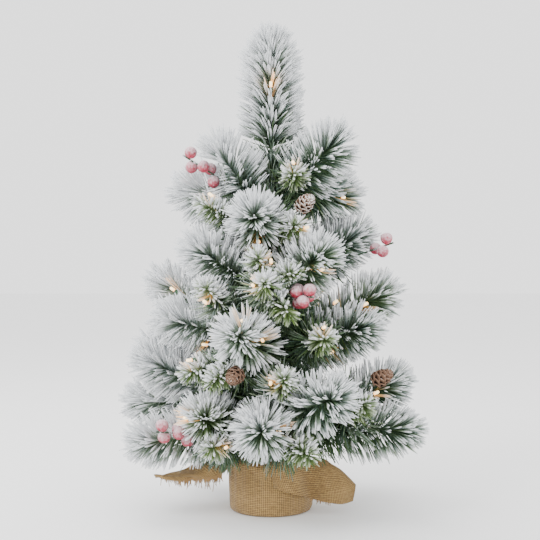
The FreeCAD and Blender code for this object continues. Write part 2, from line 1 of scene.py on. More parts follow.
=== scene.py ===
import json
import math
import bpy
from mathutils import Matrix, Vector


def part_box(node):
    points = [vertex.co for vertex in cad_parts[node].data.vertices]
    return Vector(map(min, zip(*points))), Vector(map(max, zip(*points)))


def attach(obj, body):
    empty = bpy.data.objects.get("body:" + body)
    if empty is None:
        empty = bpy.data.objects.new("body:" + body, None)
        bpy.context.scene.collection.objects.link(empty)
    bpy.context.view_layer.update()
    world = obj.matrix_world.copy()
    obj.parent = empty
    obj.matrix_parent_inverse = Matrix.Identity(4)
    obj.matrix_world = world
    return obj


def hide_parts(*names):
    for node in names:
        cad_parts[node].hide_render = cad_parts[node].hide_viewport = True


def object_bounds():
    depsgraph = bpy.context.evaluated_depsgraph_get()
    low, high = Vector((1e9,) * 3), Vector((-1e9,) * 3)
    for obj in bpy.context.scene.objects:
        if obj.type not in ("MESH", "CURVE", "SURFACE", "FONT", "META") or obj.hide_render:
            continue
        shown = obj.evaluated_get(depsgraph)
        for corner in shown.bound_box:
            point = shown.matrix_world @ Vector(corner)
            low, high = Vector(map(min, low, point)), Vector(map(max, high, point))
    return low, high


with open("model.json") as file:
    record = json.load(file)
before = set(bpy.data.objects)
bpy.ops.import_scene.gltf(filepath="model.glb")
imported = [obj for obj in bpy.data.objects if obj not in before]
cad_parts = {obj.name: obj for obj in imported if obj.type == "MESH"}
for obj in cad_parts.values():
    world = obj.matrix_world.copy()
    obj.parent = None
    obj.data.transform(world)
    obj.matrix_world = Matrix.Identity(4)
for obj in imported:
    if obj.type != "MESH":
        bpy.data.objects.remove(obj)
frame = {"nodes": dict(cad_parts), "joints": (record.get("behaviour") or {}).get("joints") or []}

import zlib

import bpy
import numpy as np
from mathutils import Vector

cad_box = [list(corner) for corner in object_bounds()]
UP = np.array([0.0, 0.0, 1.0])
MM = 0.001
GOLDEN_TURN = math.radians(137.5)  # from one needle or cone scale to the next


# ---- camera and light ----
CAMERA_PLACE = (-0.001, -1.37, 0.33)
CAMERA_AIM = (-0.001, 0.0, 0.298)
FOCAL_LENGTH = 73.33
SENSOR_WIDTH = 36.0
ROOM_LIGHT = 2.1
# place, aim, size and power
STUDIO_LIGHTS = {
    "key": ((-1.2, -1.1, 1.5), (0, 0, 0.3), 0.9, 27),
    "fill": ((1.4, -1.2, 0.7), (0, 0, 0.25), 1.2, 2),
    "top": ((-0.5, 0.5, 1.6), (0, 0, 0.3), 1.0, 14),
}


def in_scene(name, data):
    made = bpy.data.objects.new(name, data)
    bpy.context.scene.collection.objects.link(made)
    return made


def aimed(thing, place, aim):
    thing.location = place
    thing.rotation_euler = (Vector(aim) - Vector(place)).to_track_quat("-Z", "Y").to_euler()
    return thing


def place_camera():
    data = bpy.data.cameras.new("camera")
    data.lens = FOCAL_LENGTH
    data.sensor_width = SENSOR_WIDTH
    bpy.context.scene.camera = aimed(in_scene("camera", data), CAMERA_PLACE, CAMERA_AIM)


def light_studio():
    world = bpy.data.worlds.new("studio")
    bpy.context.scene.world = world
    world.use_nodes = True
    background = world.node_tree.nodes["Background"]
    background.inputs["Color"].default_value = (1, 1, 1, 1)
    background.inputs["Strength"].default_value = ROOM_LIGHT
    for name, (place, aim, size, power) in STUDIO_LIGHTS.items():
        data = bpy.data.lights.new(name, "AREA")
        data.size = size
        data.energy = power
        aimed(in_scene(name, data), place, aim)


place_camera()
light_studio()


# ---- shader maths ----
class Value:
    """A socket that can stand in sums. A sum on it adds Math nodes."""

    def __init__(self, finish, socket):
        self.finish = finish
        self.socket = socket

    def sum_of(self, operation, a, b=0.0):
        return self.finish.node("ShaderNodeMath", {"operation": operation}, {0: a, 1: b})

    def __add__(self, other):
        return self.sum_of("ADD", self, other)

    __radd__ = __add__

    def __sub__(self, other):
        return self.sum_of("SUBTRACT", self, other)

    def __rsub__(self, other):
        return self.sum_of("SUBTRACT", other, self)

    def __mul__(self, other):
        return self.sum_of("MULTIPLY", self, other)

    __rmul__ = __mul__

    def __truediv__(self, other):
        return self.sum_of("DIVIDE", self, other)

    def whole(self):
        return self.sum_of("FLOOR", self)

    def part(self):
        return self.sum_of("FRACT", self)

    def wave(self):
        return self.sum_of("SINE", self)

    def size(self):
        return self.sum_of("ABSOLUTE", self)


class Finish:
    """A material being built up from nodes."""

    def __init__(self, name, **sockets):
        self.material = bpy.data.materials.new(name)
        self.material.use_nodes = True
        self.tree = self.material.node_tree
        self.shader = self.tree.nodes["Principled BSDF"]
        for socket, value in sockets.items():
            self.put(self.shader.inputs[socket.replace("_", " ")], value)

    def put(self, socket, value):
        if isinstance(value, Value):
            self.tree.links.new(value.socket, socket)
        elif isinstance(value, tuple) and len(value) == 3 and socket.type == "RGBA":
            socket.default_value = (*value, 1)
        else:
            socket.default_value = value

    def node(self, kind, settings=(), inputs=(), output=0):
        """Adds a node. Settings come first, then the values or links of its sockets."""
        made = self.tree.nodes.new(kind)
        for name, value in dict(settings).items():
            if name == "stops":
                ramp = made.color_ramp
                while len(ramp.elements) < len(value):
                    ramp.elements.new(1.0)
                for element, (place, colour) in zip(ramp.elements, value):
                    element.position = place
                    element.color = (*colour, 1)
            else:
                setattr(made, name, value)
        for name, value in dict(inputs).items():
            self.put(made.inputs[name], value)
        return Value(self, made.outputs[output])

    def noise(self, scale, detail=3.0, vector=None):
        inputs = {"Scale": scale, "Detail": detail, "Roughness": 0.55, "Vector": vector or self.place()}
        return self.node("ShaderNodeTexNoise", {}, inputs)

    def place(self):
        """Where on the piece, in metres."""
        return self.node("ShaderNodeTexCoord", {}, {}, "Object")

    def blend(self, share, a, b):
        """A colour between a and b."""
        return self.node("ShaderNodeMix", {"data_type": "RGBA"}, {0: share, 6: a, 7: b}, 2)

    def ramp(self, value, stops):
        return self.node("ShaderNodeValToRGB", {"stops": stops}, {0: value})

    def step(self, value, low, high):
        """0 below low, 1 above high, and smooth between."""
        settings = {"interpolation_type": "SMOOTHSTEP"}
        return self.node("ShaderNodeMapRange", settings, {0: value, 1: low, 2: high})

    def map_of(self, name):
        """The two values of a UV map."""
        both = self.node("ShaderNodeUVMap", {"uv_map": name})
        x = self.node("ShaderNodeSeparateXYZ", {}, {0: both}, 0)
        y = self.node("ShaderNodeSeparateXYZ", {}, {0: both}, 1)
        return x, y

    def vector(self, x, y):
        return self.node("ShaderNodeCombineXYZ", {}, {0: x, 1: y})

    def bump(self, height, depth, strength=1.0):
        inputs = {"Height": height, "Distance": depth, "Strength": strength}
        self.put(self.shader.inputs["Normal"], self.node("ShaderNodeBump", {}, inputs))

    def colour(self, value):
        self.put(self.shader.inputs["Base Color"], value)

    def roughness(self, value):
        self.put(self.shader.inputs["Roughness"], value)

    def glow(self, colour, strength):
        self.put(self.shader.inputs["Emission Color"], colour)
        self.shader.inputs["Emission Strength"].default_value = strength


# ---- finishes ----
# the needles' map has a column for each shade of green, once for each level of painted lamp glow
SHADES = 8
GLOW_LEVELS = 6
COLUMNS = SHADES * GLOW_LEVELS
THREAD = 0.0021  # from one jute thread to the next
WANDER = 0.0009  # how far a thread strays


def needle_finish():
    """Needles take their finish from a map: along it the flock, across it the green and the painted lamp glow.
    """
    finish = Finish("flocked_needles", Roughness=0.85)
    across, flock = finish.map_of("OFBake")
    column = across * GLOW_LEVELS
    painted_glow = column.whole() / (GLOW_LEVELS - 1.0)
    shade = column.part()
    grain = finish.noise(1.0, 3.0, finish.vector(across * 520, flock * 60))
    cover = flock + (grain - 0.5) * 0.34
    green = finish.blend(shade, (0.022, 0.062, 0.042), (0.11, 0.185, 0.03))
    dusted = finish.blend(shade, (0.24, 0.305, 0.29), (0.36, 0.43, 0.24))
    base = finish.blend(finish.step(cover, 0.06, 0.54), green, dusted)
    white = finish.blend(finish.step(cover, 0.56, 0.9), base, (0.76, 0.78, 0.795))
    # painted lamp light: needles near a lamp are tinted orange and made to glow, though they are no lamp
    finish.colour(finish.blend(painted_glow * 0.65, white, (1.0, 0.64, 0.24)))
    finish.glow(finish.blend(painted_glow * painted_glow, (0, 0, 0), (1.0, 0.36, 0.05)), 1.2)
    finish.bump(grain, 0.0004, 0.6)
    return finish.material


def wire_finish():
    """Wire bound in green tape, with flock dust in the laps."""
    finish = Finish("taped_wire", Roughness=0.8)
    laps = finish.noise(900.0, 2.0)
    dust = finish.step(finish.noise(260.0, 4.0), 0.5, 0.66)
    tape = finish.blend(laps, (0.02, 0.045, 0.025), (0.05, 0.09, 0.05))
    finish.colour(finish.blend(dust, tape, (0.62, 0.66, 0.66)))
    finish.bump(laps, 0.0004)
    return finish.material


def plain_finish(name, dark, light, scale, roughness, depth, metallic=0.0):
    """A moulded, cast or enamelled finish: two close colours in patches, and a fine grain."""
    finish = Finish(name, Metallic=metallic)
    grain = finish.noise(scale * 14, 3.0)
    finish.colour(finish.blend(finish.noise(scale, 5.0), dark, light))
    finish.roughness(roughness + (grain - 0.5) * 0.25)
    finish.bump(grain, depth)
    return finish.material


def grain_finish(name, dark, light, scale, detail, roughness, depth):
    """A small piece's finish: one grain gives both its colour and its surface."""
    finish = Finish(name, Roughness=roughness)
    grain = finish.noise(scale, detail)
    finish.colour(finish.blend(grain, dark, light))
    finish.bump(grain, depth)
    return finish.material


def lens_finish():
    """A clear lens that glows: hottest in the middle of its length, amber at its foot."""
    finish = Finish("lamp_lens", Roughness=0.12)
    _, along = finish.map_of("OFBake")
    hot = finish.ramp(along, [(0.0, (1.0, 0.3, 0.04)), (0.35, (1.0, 0.54, 0.15)),
                              (0.7, (1.0, 0.8, 0.42)), (1.0, (1.0, 0.58, 0.18))])
    finish.colour((0.95, 0.85, 0.7))
    finish.glow(hot, 3.0)
    return finish.material


def berry_finish():
    """Deep red lacquer under patches of white sugar frost, thickest on top."""
    finish = Finish("frosted_berry", Coat_Weight=0.15)
    _, top = finish.map_of("frost")
    frost = finish.step(finish.noise(300.0, 5.0) * 1.1 + top * 0.66, 0.58, 1.28)
    crystals = finish.noise(2600.0, 2.0)
    red = finish.blend(finish.noise(160.0, 2.0), (0.28, 0.01, 0.032), (0.48, 0.035, 0.075))
    finish.colour(finish.blend(frost * (crystals * 0.4 + 0.6), red, (0.78, 0.66, 0.7)))
    finish.roughness(0.35 + frost * 0.5)
    finish.bump(crystals * frost + frost * 0.6, 0.0004)
    return finish.material


def scale_finish():
    """Dry cone scales, dark at the root, pale at the edge, their tips dipped in flock."""
    finish = Finish("cone_scales", Roughness=0.85)
    across, along = finish.map_of("OFBake")
    streak = finish.noise(1.0, 4.0, finish.vector(across * 160, along * 6))
    wood = finish.ramp(along, [(0.0, (0.014, 0.008, 0.006)), (0.35, (0.07, 0.035, 0.022)),
                               (0.8, (0.19, 0.102, 0.062)), (1.0, (0.36, 0.24, 0.17))])
    wood = finish.blend(streak * 0.5, wood, (0.12, 0.06, 0.03))
    flock = finish.step(along + (finish.noise(500.0, 3.0) - 0.5) * 0.7, 0.92, 1.06)
    finish.colour(finish.blend(flock, wood, (0.8, 0.78, 0.76)))
    finish.bump(streak + flock, 0.0003)
    return finish.material


def burlap_finish():
    """Open plain weave of uneven jute threads. The cloth map is in metres along warp and weft."""
    finish = Finish("burlap", Roughness=0.92)
    across, along = finish.map_of("cloth")
    stray = (finish.noise(60.0, 3.0, finish.vector(across, along)) - 0.5) * WANDER
    warp = ((across + stray) * (math.pi / THREAD)).wave()
    weft = ((along + stray) * (math.pi / THREAD)).wave()
    over = finish.step(warp * weft, -0.15, 0.15)
    threads = warp.size() * over + weft.size() * (1.0 - over)
    slub = finish.noise(1.0, 4.0, finish.vector(across * 130, along * 900))
    fibre = finish.noise(1.0, 5.0, finish.vector(across * 2400, along * 1500))
    patch = finish.noise(26.0, 3.0, finish.vector(across, along))
    dark_or_light = finish.step(slub * 0.65 + patch * 0.35, 0.32, 0.68)
    tone = finish.blend(dark_or_light, (0.175, 0.096, 0.03), (0.52, 0.325, 0.11))
    tone = finish.blend(fibre * 0.28, tone, (0.64, 0.43, 0.18))
    # painted shade: the grooves and gaps between the threads are coloured near black-brown
    finish.colour(finish.blend(finish.step(threads, 0.2, 0.74), (0.05, 0.026, 0.009), tone))
    finish.bump(threads + fibre * 0.3, 0.0006, 0.9)
    finish.shader.inputs["Sheen Weight"].default_value = 0.15
    return finish.material


def floor_finish():
    finish = Finish("pale_floor", Roughness=0.9)
    finish.colour(finish.blend(finish.noise(3.0), (0.9, 0.9, 0.9), (0.93, 0.93, 0.93)))
    return finish.material


needles = needle_finish()
wire = wire_finish()
socket_green = grain_finish("lamp_socket", (0.012, 0.06, 0.022), (0.04, 0.12, 0.05), 700.0, 3.0, 0.35, 0.0001)
lens_glow = lens_finish()
berry_red = berry_finish()
cone_brown = scale_finish()
burlap = burlap_finish()
jute = grain_finish("jute_fibre", (0.2, 0.108, 0.038), (0.46, 0.29, 0.125), 1500.0, 4.0, 0.9, 0.0002)
stalk = grain_finish("berry_stalk", (0.11, 0.045, 0.03), (0.26, 0.12, 0.085), 900.0, 4.0, 0.7, 0.0002)


# ---- meshes ----
def new_object(name, mesh, material):
    mesh.materials.append(material)
    return in_scene(name, mesh)


def mesh_of(name, points, faces, maps):
    """A mesh from arrays. Faces are in groups, each with its own number of corners.
    maps gives each UV map one pair for each corner, in the order of the faces."""
    mesh = bpy.data.meshes.new(name)
    corners = np.concatenate([group.ravel() for group in faces])
    sizes = np.concatenate([np.full(len(group), group.shape[1]) for group in faces])
    mesh.vertices.add(len(points))
    mesh.vertices.foreach_set("co", np.asarray(points, np.float32).ravel())
    mesh.loops.add(len(corners))
    mesh.loops.foreach_set("vertex_index", corners.astype(np.int32))
    mesh.polygons.add(len(sizes))
    mesh.polygons.foreach_set("loop_start", (np.cumsum(sizes) - sizes).astype(np.int32))
    mesh.polygons.foreach_set("use_smooth", np.full(len(sizes), True))
    for map_name, pairs in maps.items():
        layer = mesh.uv_layers.new(name=map_name)
        layer.uv.foreach_set("vector", np.asarray(pairs, np.float32).ravel())
    mesh.update(calc_edges=True)
    mesh.validate()
    return mesh


def unit(ways):
    return ways / np.maximum(np.linalg.norm(ways, axis=-1, keepdims=True), 1e-12)


def square_to(ways):
    """Two directions square to each of the given ones, and to each other."""
    helper = np.where(np.abs(ways[..., 2:]) < 0.9, UP, np.array([1.0, 0.0, 0.0]))
    side = unit(np.cross(ways, helper))
    return side, np.cross(ways, side)


def ring_turns(sides):
    return np.linspace(0, 2 * math.pi, sides, endpoint=False)


def bent_line(start, pull, end, t):
    """Places on a line from start to end that is pulled towards a third place."""
    return (1 - t) ** 2 * start + 2 * t * (1 - t) * pull + t ** 2 * end


def band_faces(index, closed=True):
    """Faces between rows of numbered points. Closed rows are rings."""
    after = np.roll(index, -1, axis=-1)
    faces = np.stack([index[..., :-1, :], after[..., :-1, :], after[..., 1:, :], index[..., 1:, :]], -1)
    return (faces if closed else faces[..., :-1, :]).reshape(-1, 4)


def band_map(u, v, least=0.0):
    """The map of those faces, from the u of each corner round a ring and the v of each ring."""
    left, right, below, above = np.broadcast_arrays(
        u[..., None, :-1], u[..., None, 1:], v[..., :-1, None], v[..., 1:, None])
    above = np.where(np.abs(above - below) < least, below + least, above)
    return np.stack([left, below, right, below, right, above, left, above], -1).reshape(-1, 2)


def solids_of(node):
    """The points of each separate solid of a CAD node."""
    mesh = frame["nodes"][node].data
    points = np.zeros(len(mesh.vertices) * 3, np.float32)
    mesh.vertices.foreach_get("co", points)
    places, same = np.unique(points.reshape(-1, 3), axis=0, return_inverse=True)
    same = same.ravel()
    edges = np.zeros(len(mesh.edges) * 2, np.int32)
    mesh.edges.foreach_get("vertices", edges)
    a, b = same[edges.reshape(-1, 2)].T
    label = np.arange(len(places))
    while True:
        before = label.copy()
        low = np.minimum(label[a], label[b])
        np.minimum.at(label, a, low)
        np.minimum.at(label, b, low)
        label = label[label]
        if (label == before).all():
            break
    return [places[label == group].astype(float) for group in np.unique(label)]


def run_of(points, near):
    """The start, end and radius of a long solid. It starts at its end nearer to a place."""
    middle = points.mean(0)
    way = np.linalg.svd(points - middle, full_matrices=False)[2][0]
    along = (points - middle) @ way
    start, end = middle + way * along.min(), middle + way * along.max()
    radius = np.linalg.norm(points - middle - along[:, None] * way, axis=1).max()
    if np.linalg.norm(end - near) < np.linalg.norm(start - near):
        start, end = end, start
    return start, end, radius


# ---- needles ----
def middles(ending):
    """The middle of every solid in the CAD nodes whose names end like this."""
    nodes = [node for node in sorted(frame["nodes"]) if node.endswith(ending)]
    return np.array([points.mean(0) for node in nodes for points in solids_of(node)])


LAMPS = middles("_lights")
BERRIES = middles("_berries")
PINECONES = middles("_pinecone")
ORNAMENTS = np.concatenate([BERRIES, PINECONES])
# what needles keep clear of, the room it has, and how far out in front of it they do
KEPT_CLEAR = ((BERRIES, 0.0098, 0.046), (PINECONES, 0.0125, 0.03), (LAMPS, 0.0042, 0.024))
PROUD = 0.0185  # how far needle tips may stand out past the CAD box
LOWEST_TIP = 0.06
REACH_LOW = np.array([cad_box[0][0] - PROUD, cad_box[0][1] - PROUD, LOWEST_TIP])
REACH_HIGH = np.array(cad_box[1]) + PROUD
GLOW_REACH = 0.0085  # how far the painted lamp glow reaches on the needles round a lamp
LEAST_STEP = 0.01  # a face's least height on the needles' map


def kept_in(root, tip):
    """Needle tips, drawn back where they would stand out past the rest."""
    way = tip - root
    room = np.where(way > 0, REACH_HIGH - root, root - REACH_LOW) / np.maximum(np.abs(way), 1e-9)
    return root + way * np.clip(room.min(1), 0.3, 1)[:, None]


def pushed_aside(root, bend, tip):
    """Which needles an ornament or a lamp pushes out of its way."""
    hit = np.zeros(len(root), bool)
    for share in (0.15, 0.35, 0.5, 0.65, 0.8, 0.9, 1.0):
        place = bent_line(root, bend, tip, share)
        for spots, room, outward in KEPT_CLEAR:
            out = unit(spots * np.array([1, 1, 0])) + UP * 0.12
            ahead = np.where(out[:, 1:2] < 0.3, np.array([0, -1.0, 0.0]), out)
            for step in (0, 0.18, 0.38, 0.6, 0.8, 1.0):
                for way in (out, ahead):
                    gap = np.linalg.norm(place[:, None] - (spots + way * outward * step)[None], axis=2)
                    hit |= (gap < room).any(1)
    return hit


class Needles:
    """Needles gathered for one piece, each a tapered strand on a bent line."""

    def __init__(self):
        self.parts = []

    def grow(self, root, bend, tip, thick, profile, flock, shade, flat=1.0, sides=4):
        """Adds needles from root to tip, pulled towards bend. flock is its value at each ring."""
        tip = kept_in(root, tip)
        free = ~pushed_aside(root, bend, tip)
        root, bend, tip, thick, flock, shade = (value[free] for value in (root, bend, tip, thick, flock, shade))
        t = (np.linspace(0, 1, len(profile)) ** 0.8)[None, :, None]
        line = bent_line(root[:, None], bend[:, None], tip[:, None], t)
        side, other = square_to(unit(tip - root))
        turn = ring_turns(sides)
        ring = np.cos(turn)[None, :, None] * side[:, None] + flat * np.sin(turn)[None, :, None] * other[:, None]
        radius = thick[:, None] * np.asarray(profile)[None, :]
        points = line[:, :, None] + radius[:, :, None, None] * ring[:, None]
        # painted lamp glow, from how near each needle's outer part is to a lamp
        painted_glow = painted_glow_at(root * 0.35 + tip * 0.65)
        column = np.floor(painted_glow * (GLOW_LEVELS - 0.01)) * SHADES + np.floor(np.clip(shade, 0, 0.999) * SHADES)
        self.parts.append((points, np.clip(flock, 0.0, 1.0), column))

    def mesh(self, name):
        """One mesh: first the faces along the needles, then a cap on each tip."""
        points, quads, quad_maps, caps = [], [], [], []
        first = 0
        for place, flock, column in self.parts:
            count, rings, sides = place.shape[:3]
            index = first + np.arange(count * rings * sides).reshape(count, rings, sides)
            u = (column[:, None] + 0.15 + 0.7 * np.arange(sides + 1)[None] / sides) / COLUMNS
            v = 0.03 + 0.94 * flock
            turn = ring_turns(sides)
            cap_u = (column[:, None] + 0.5 + 0.35 * np.cos(turn)[None]) / COLUMNS
            cap_v = v[:, -1:] + 0.012 * np.sin(turn)[None]
            points.append(place.reshape(-1, 3))
            quads.append(band_faces(index))
            quad_maps.append(band_map(u, v, LEAST_STEP))
            caps.append((sides, index[:, -1], np.stack([cap_u, cap_v], -1).reshape(-1, 2)))
            first += index.size
        caps.sort(key=lambda cap: cap[0])
        faces = quads + [cap for _, cap, _ in caps]
        pairs = np.concatenate(quad_maps + [cap_map for _, _, cap_map in caps])
        return mesh_of(name, np.concatenate(points), faces, {"OFBake": pairs})


def painted_glow_at(points):
    """How much painted lamp glow each point gets, from 0 to 1, by its nearness to the lamps."""
    gap = np.linalg.norm(points[:, None] - LAMPS[None], axis=2)
    return np.clip(np.exp(-(gap / GLOW_REACH) ** 2).sum(1), 0, 1)


def painted_side_light(points):
    """Painted light from the left, added as extra flock: whiter on the left of the tree, less white on the
    right.
    """
    return np.clip(-points[:, 0] / 0.11, -0.9, 1) * 0.25


def around(way, turn, lean):
    """Directions that lean away from one direction, turned round it."""
    side, other = square_to(way)
    out = np.cos(turn)[:, None] * side + np.sin(turn)[:, None] * other
    return unit(np.cos(lean)[:, None] * way + np.sin(lean)[:, None] * out)


def along_needle(base, gain, rise):
    """The flock at each ring of each needle: the usual amount, and its share of a rise."""
    return np.array(base)[None] + rise[:, None] * np.array(gain)[None]


def long_brush(into, start, end, random, length, tone, bunches=150, back=0.0, inset=0.017, tall=False):
    """Soft needles in bunches up a wire, fanned forward at its end."""
    in_bunch = 4
    way = unit(end - start)
    reach = np.linalg.norm(end - start) - inset
    turn_in, crowded = (0.78, 0.2) if tall else (0.62, 0.4)
    ahead = int(bunches * crowded)
    parting = turn_in + 0.15
    share = np.concatenate([np.linspace(0, parting, bunches - ahead), np.linspace(parting, 1.0, ahead)])
    share = np.clip(share + random.normal(0, 0.01, bunches), 0, 1)
    turn = np.arange(bunches) * GOLDEN_TURN + random.normal(0, 0.18, bunches)
    closing = np.clip((share - turn_in) / (1 - turn_in), 0, 1)
    lean = np.radians(68 - 8 * share) * (1 - closing ** 1.7 * random.uniform(0.3, 0.95, bunches))
    lean += random.normal(0, 0.045, bunches)
    ways = around(way, turn, lean)
    size = length * (1 - 0.15 * closing) * random.uniform(0.96, 1.02, bunches)
    roots = start + way * (share * (reach + back) - back)[:, None]
    tips = roots + ways * size[:, None]
    # each bunch is a few needles whose ends are drawn together by the flock
    count = bunches * in_bunch
    root = np.repeat(roots, in_bunch, 0) + way * random.uniform(-0.002, 0.002, count)[:, None]
    spread = random.normal(0, 1.0, (count, 3))
    drawn_back = np.repeat(ways, in_bunch, 0) * random.uniform(-0.004, 0.0005, count)[:, None]
    tip = np.repeat(tips, in_bunch, 0) + spread * 0.0019 + drawn_back
    bend = (root + tip) / 2 + spread * 0.001 + way * 0.0012 - UP * 0.0005
    upward = np.repeat(ways, in_bunch, 0)[:, 2]
    bunch_tone = np.repeat(random.normal(0, 0.07, bunches), in_bunch)
    # painted side light: more flock whiteness on the left of the tree
    rise = 0.3 * upward + painted_side_light(tip) + tone + bunch_tone + random.normal(0, 0.05, count)
    if not tall:
        rise -= np.clip((0.085 - np.linalg.norm(tip[:, :2], axis=1)) / 0.05, 0, 1) * 0.34
    flock = along_needle([0.02, 0.16, 0.38, 0.66, 0.92, 0.98], [0.4, 1.2, 1.4, 1.2, 0.5, 0.2], rise)
    shade = np.clip(random.normal(0.22, 0.12, count) - tone * 1.2, 0, 0.75)
    thick = random.uniform(0.85, 1.15, count) * 0.0008
    into.grow(root, bend, tip, thick, (0.46, 0.58, 0.76, 1.05, 1.12, 0.6), flock, shade)


def short_pick(into, start, end, random, count=190):
    """Stiff moulded needles with flock in clumps on their ends."""
    way = unit(end - start)
    reach = np.linalg.norm(end - start) - 0.006
    share = np.clip(np.linspace(-0.25, 1.0, count) + random.normal(0, 0.02, count), -0.3, 1)
    turn = np.arange(count) * GOLDEN_TURN + random.normal(0, 0.2, count)
    closing = np.clip((share - 0.6) / 0.4, 0, 1)
    lean = np.radians(62) * (1 - closing * random.uniform(0.2, 0.95, count)) + random.normal(0, 0.1, count)
    ways = around(way, turn, lean)
    root = start + way * (share * reach)[:, None]
    tip = root + ways * (random.uniform(0.016, 0.024, count) * (1 - 0.15 * closing))[:, None]
    bend = (root + tip) / 2 + way * 0.0015
    snowy = np.sin(turn * 1.7 + share * 9) + random.normal(0, 0.6, count) > -0.1
    # painted side light: more flock whiteness on the left of the tree
    rise = np.where(snowy, 0.16, -0.4) + 0.42 * ways[:, 2] + painted_side_light(tip)
    flock = along_needle([0.05, 0.3, 0.62, 0.86], [0.4, 1.0, 1.2, 0.8], rise)
    thick = np.where(snowy & (ways[:, 2] > -0.35), 0.00155, 0.00085) * random.uniform(0.85, 1.15, count)
    shade = random.uniform(0.5, 0.95, count)
    into.grow(root, bend, tip, thick, (0.4, 0.7, 1.05, 0.7), flock, shade, flat=0.8)


def stem_needles(into, start, end, random, count, length=0.032, snow=0.0):
    """Sparse dark needles on a wire between its brushes."""
    way = unit(end - start)
    share = random.uniform(0, 1, count)
    turn = random.uniform(0, 2 * math.pi, count)
    lean = np.radians(random.uniform(45, 78, count))
    ways = around(way, turn, lean)
    root = start + (end - start) * share[:, None]
    tip = root + ways * (length * random.uniform(0.8, 1.15, count))[:, None]
    bend = (root + tip) / 2 - UP * 0.0012
    out = np.linalg.norm(tip[:, :2], axis=1)
    # painted side light: more flock whiteness on the left of the tree
    rise = np.clip((out - 0.1) / 0.06, 0, 1) * 0.34 + snow + painted_side_light(tip) * 0.5 + random.normal(0, 0.07, count)
    flock = along_needle([0.02, 0.1, 0.26], [0.3, 1.0, 1.3], rise)
    shade = np.clip(random.normal(0.3, 0.16, count), 0, 0.8)
    thick = random.uniform(0.8, 1.2, count) * 0.0008
    into.grow(root, bend, tip, thick, (0.7, 1.0, 0.45), flock, shade, sides=3)


def ride(piece, body, stands_for=()):
    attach(piece, body)
    if stands_for:
        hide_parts(*stands_for)


def seed(name):
    return np.random.RandomState(zlib.crc32(name.encode()) % (2 ** 31))


HINGES = {joint["child"]: np.array(joint["pos_m"]) for joint in frame["joints"] if "pos_m" in joint}
BRANCHES = [node[:-5] for node in sorted(frame["nodes"]) if node.endswith("_stem")]
LOW_HINGE = 0.13  # branches hinged below this have more needles inside
BARE_END = 0.017  # a wire that ends this near an ornament is bare there
LONG_CORE = 0.0125  # tips with a thicker core than this are long-needle brushes
BARE_BRUSH = -36  # where the low left branch's barely flocked brush faces, in degrees


def dress_branch(name):
    """Needles on a branch's wires, and brushes and picks on its tips."""
    random = seed(name)
    hinge = HINGES[name]
    grown = Needles()
    inner, gap, size = (0.75, 0.0005, 0.05) if hinge[2] < LOW_HINGE else (0.55, 0.001, 0.046)
    for points in solids_of(name + "_stem"):
        start, end, _ = run_of(points, hinge)
        way = end - start
        bare = min(np.linalg.norm(ORNAMENTS - end, axis=1)) < BARE_END
        last = start + way * (0.3 if bare else 1.0)
        length = np.linalg.norm(last - start)
        stem_needles(grown, start + way * 0.06, last, random, int(length / 0.00045))
        stem_needles(grown, start + way * 0.1, start + way * inner, random, int(length / gap), size, -0.1)
        if length > 0.09:
            stem_needles(grown, start + way * 0.45, last, random, int(length / 0.0008), 0.036, 0.22)
    for points in solids_of(name + "_tips"):
        start, end, radius = run_of(points, hinge)
        if name == "leader":
            foot = hinge + UP * 0.006
            long_brush(grown, foot, end, random, 0.0455, -0.03, bunches=430, inset=0.028, tall=True)
        elif radius > LONG_CORE:
            facing = math.degrees(math.atan2(end[0], -end[1]))
            bare_brush = name == "low_left" and abs(facing - BARE_BRUSH) < 8
            tone = -0.3 if bare_brush else random.uniform(-0.1, 0.06)
            length, back = (0.048, 0.016) if name in ("top_left", "top_right") else (0.0445, 0.012)
            long_brush(grown, start, end, random, length, tone, back=back)
        else:
            short_pick(grown, start, end, random)
    piece = new_object(name + "_needles", grown.mesh(name + "_needles"), needles)
    ride(piece, name, [name + "_tips"])


def dress_trunk():
    random = seed("trunk")
    grown = Needles()
    foot, top = UP * 0.088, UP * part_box("trunk_tube")[1].z
    for length in (0.03, 0.038, 0.046):
        stem_needles(grown, foot, top, random, 500, length)
    stem_needles(grown, top - UP * 0.075, top, random, 520, 0.038, 0.3)
    ride(new_object("trunk_needles", grown.mesh("trunk_needles"), needles), "base")


for branch in BRANCHES:
    dress_branch(branch)
dress_trunk()


# ---- turned and round pieces ----
def turned(profile, sides, start, way):
    """Points, faces and map of a lathe-turned shape. profile is pairs of radius and height."""
    side, other = square_to(way)
    turn = ring_turns(sides)
    rings = [start + way * height + radius * (np.cos(turn)[:, None] * side + np.sin(turn)[:, None] * other)
             for radius, height in profile]
    heights = np.array([height for _, height in profile])
    v = (heights - heights.min()) / np.ptp(heights) + np.arange(len(heights)) * 1e-4
    index = np.arange(len(profile) * sides).reshape(len(profile), sides)
    return np.concatenate(rings), band_faces(index), band_map(np.arange(sides + 1) / sides, v)


def tube_points(line, radius, sides=5):
    """Points, faces and map of a round strand along a line of points."""
    line = np.asarray(line, float)
    side, other = square_to(unit(np.gradient(line, axis=0)))
    turn = ring_turns(sides)
    ring = np.cos(turn)[None, :, None] * side[:, None] + np.sin(turn)[None, :, None] * other[:, None]
    radius = np.broadcast_to(np.asarray(radius, float), (len(line),))
    points = (line[:, None] + radius[:, None, None] * ring).reshape(-1, 3)
    index = np.arange(len(points)).reshape(len(line), sides)
    return points, band_faces(index), band_map(np.arange(sides + 1) / sides, np.linspace(0, 1, len(line)))


def joined(name, shapes, material, map_name="OFBake"):
    """One piece of several shapes, each with its points, faces and map."""
    points, faces, pairs = zip(*shapes)
    firsts = np.cumsum([0] + [len(part) for part in points])
    faces = [part + first for part, first in zip(faces, firsts)]
    mesh = mesh_of(name, np.concatenate(points), faces, {map_name: np.concatenate(pairs)})
    return new_object(name, mesh, material)


